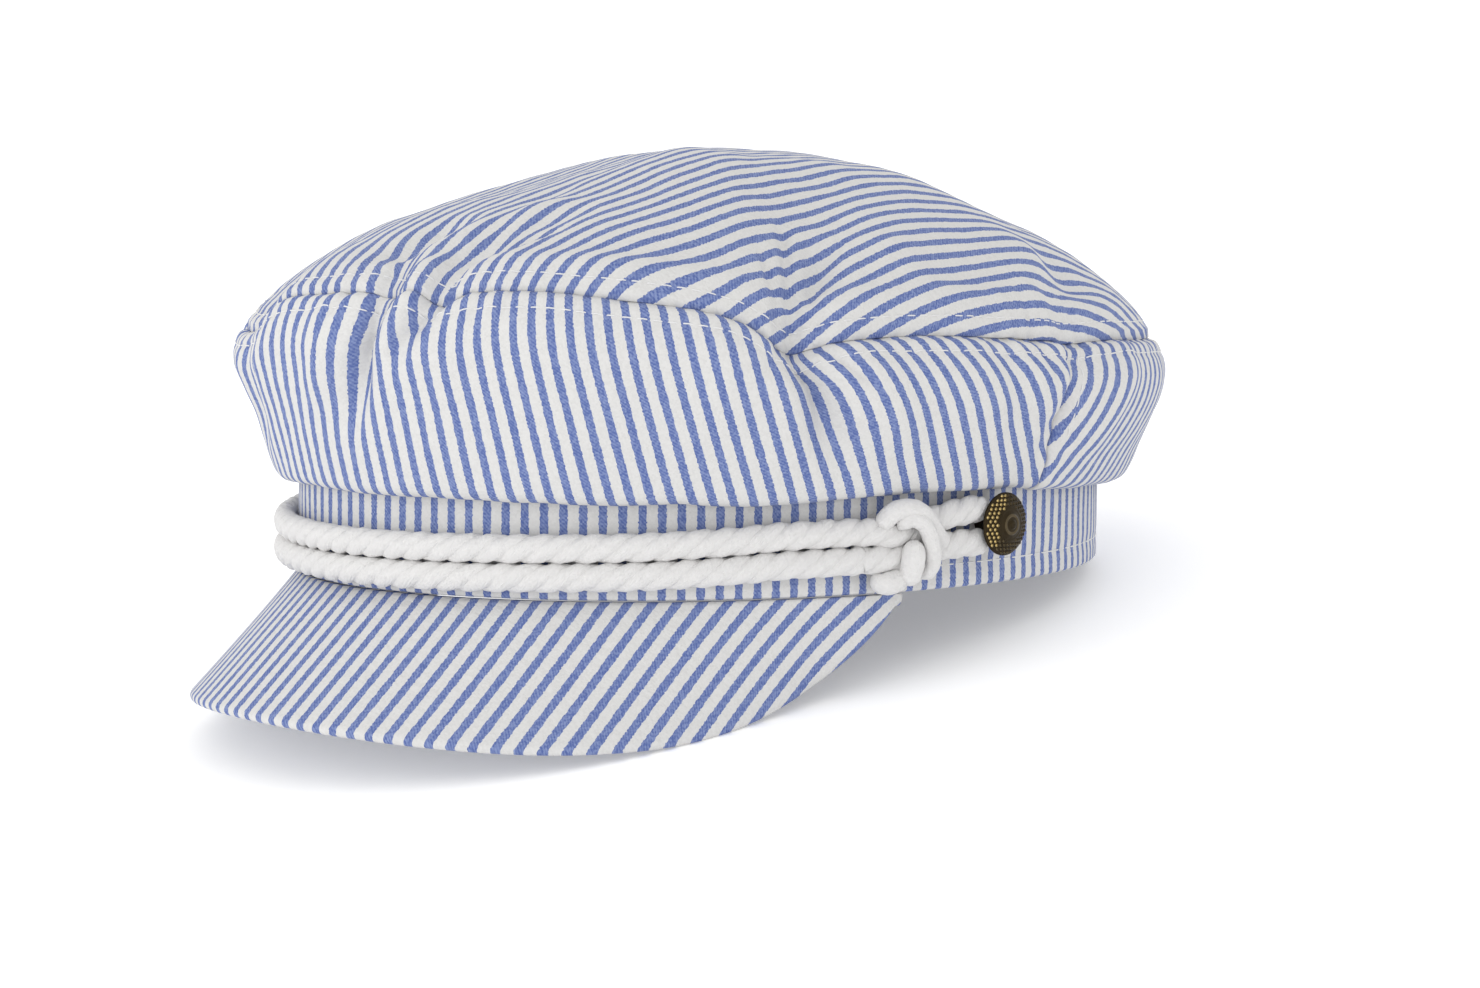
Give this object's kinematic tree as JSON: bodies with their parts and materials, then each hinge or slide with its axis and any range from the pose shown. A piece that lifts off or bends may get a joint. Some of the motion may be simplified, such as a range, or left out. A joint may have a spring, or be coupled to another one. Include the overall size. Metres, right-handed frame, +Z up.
{
  "type": "breton fisherman cap",
  "caption": "Soft striped cotton fisherman cap with a full gathered crown, stand-up band, short curved peak, twin rope trim and side knots.",
  "frame": {"origin": "on the resting surface under the middle of the cap's length, in its left-right middle plane", "axes": "+Z up from the surface, -Y towards the peak, +X towards the wearer's left"},
  "size_m": [0.1991, 0.2634, 0.1204],
  "materials": {
    "striped_cotton": "matte seersucker cotton, white with narrow blue stripes",
    "cotton_rope": "matte twisted white cotton rope",
    "aged_brass": "darkened brass with worn golden high points"
  },
  "bodies": {
    "root": {"crown_top": "striped_cotton", "crown_side": "striped_cotton", "crown_back": "striped_cotton", "band": "striped_cotton", "peak": "striped_cotton", "cord_upper": "cotton_rope", "cord_lower": "cotton_rope", "knot_left": "cotton_rope", "knot_right": "cotton_rope", "button_left": "aged_brass", "button_right": "aged_brass"}
  },
  "joints": []
}
